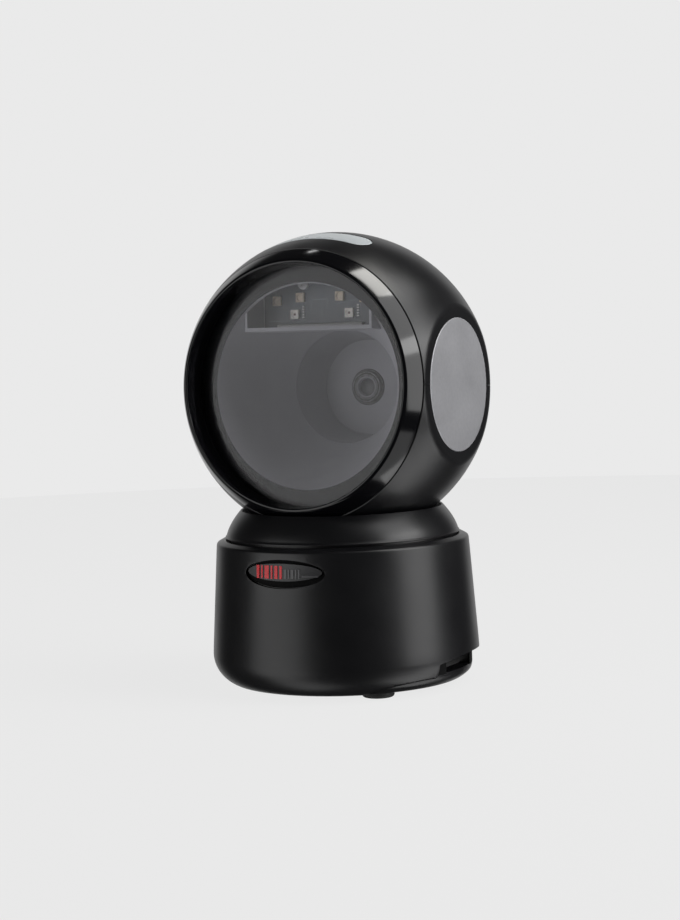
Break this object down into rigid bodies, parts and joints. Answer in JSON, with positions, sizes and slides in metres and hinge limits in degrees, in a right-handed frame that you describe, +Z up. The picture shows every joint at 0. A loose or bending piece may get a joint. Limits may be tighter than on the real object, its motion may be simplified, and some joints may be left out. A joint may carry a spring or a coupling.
{
  "type": "presentation barcode scanner",
  "caption": "Hands-free barcode scanner: a ball-shaped camera head with a round window tilts on a hidden fork inside a round weighted base.",
  "frame": {"origin": "on the table, at the vertical axis of the round base", "axes": "+Z up, the window looks along -Y, the tilt axis is parallel to X"},
  "size_m": [0.0872, 0.0936, 0.1465],
  "materials": {
    "satin_black_plastic": "fine satin texture moulded in",
    "gloss_black_plastic": "polished, high gloss",
    "silver_disc": "fine grained anodised sheet",
    "window_glass": "clear hardened pane with a grey tint",
    "black_print": "black printed border",
    "chamber_plastic": "matt dark grey, non-reflecting",
    "circuit_board": "dark solder mask",
    "chip_black": "moulded epoxy",
    "led_white": "white LED case",
    "led_amber": "beige LED case",
    "light_guide": "milky light bar",
    "indicator_plastic": "translucent pale blue-white",
    "lens_black": "black anodised look",
    "lens_glass": "coated lens",
    "steel": "zinc plated",
    "brass": "gold coloured",
    "rubber": "matt black",
    "ballast_iron": "raw casting",
    "engineering_plastic": "low friction plastic",
    "badge_grey": "grey inlay",
    "badge_red": "red print",
    "badge_silver": "light grey print",
    "jack_plastic": "black",
    "lead_jacket": "black jacket"
  },
  "bodies": {
    "base": {"base_housing": "satin_black_plastic", "collar": "satin_black_plastic", "collar_liner": "rubber", "badge_plate": "badge_grey", "badge_bars": "badge_red", "badge_line": "badge_silver", "bottom_plate": "satin_black_plastic", "rubber_feet": "rubber", "ballast_weights": "ballast_iron", "bottom_screws": "steel", "yoke_screws": "steel", "interface_board_screws": "steel", "data_jack": "jack_plastic", "jack_contacts": "brass", "interface_board": "circuit_board", "interface_chips": "chip_black", "lead_socket": "led_white", "tilt_yoke": "steel", "pivot_screws": "steel", "friction_washers": "steel", "base_lead": "lead_jacket"},
    "head": {"head_upper_shell": "satin_black_plastic", "head_lower_shell": "satin_black_plastic", "front_bezel": "gloss_black_plastic", "window_pane": "window_glass", "window_border": "black_print", "optical_chamber": "chamber_plastic", "led_board": "circuit_board", "leds_white": "led_white", "leds_amber": "led_amber", "led_resistors": "chip_black", "led_board_screws": "steel", "light_bar": "light_guide", "camera_tube": "chamber_plastic", "lens_barrel": "lens_black", "lens_glass": "lens_glass", "camera_board": "circuit_board", "image_sensor": "chip_black", "board_standoffs": "brass", "decoder_board": "circuit_board", "decoder_screws": "steel", "decoder_chips": "chip_black", "beeper": "lens_black", "head_lead_socket": "led_white", "indicator_lens": "indicator_plastic", "indicator_board": "circuit_board", "indicator_leds": "led_white", "side_disc_right": "silver_disc", "side_disc_left": "silver_disc", "pivot_bushes": "engineering_plastic", "shell_screws": "steel", "head_lead": "lead_jacket"}
  },
  "joints": [
    {"name": "head_tilt", "type": "hinge", "parent": "base", "child": "head", "pos_m": [0, 0, 0.0965], "axis": [1, 0, 0], "range_deg": [-17, 13]}
  ]
}
